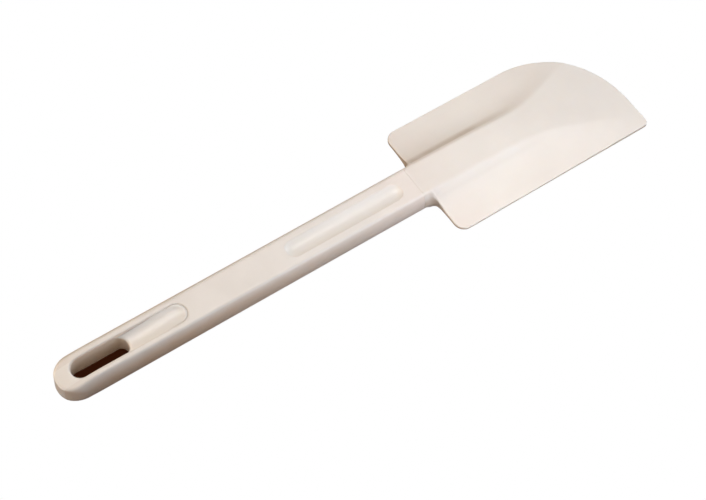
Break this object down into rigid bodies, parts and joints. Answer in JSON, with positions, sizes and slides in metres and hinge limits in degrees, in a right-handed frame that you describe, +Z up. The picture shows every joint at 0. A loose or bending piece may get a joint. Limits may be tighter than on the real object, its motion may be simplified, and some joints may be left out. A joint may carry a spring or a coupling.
{
  "type": "bowl scraper",
  "caption": "Long-handled bowl scraper: rigid moulded handle with a hanging slot, and a flexible flat blade with one large rounded corner.",
  "frame": {"origin": "on the surface that the tool lies on, under the middle of the tool's box", "axes": "+X along the tool from the handle's butt to the blade's tip, +Y across the blade towards its large rounded corner, +Z up, through the thickness"},
  "size_m": [0.343, 0.069, 0.016],
  "materials": {
    "handle_plastic": "satin",
    "blade_rubber": "satin"
  },
  "bodies": {
    "root": {"handle": "handle_plastic", "blade": "blade_rubber"}
  },
  "joints": []
}
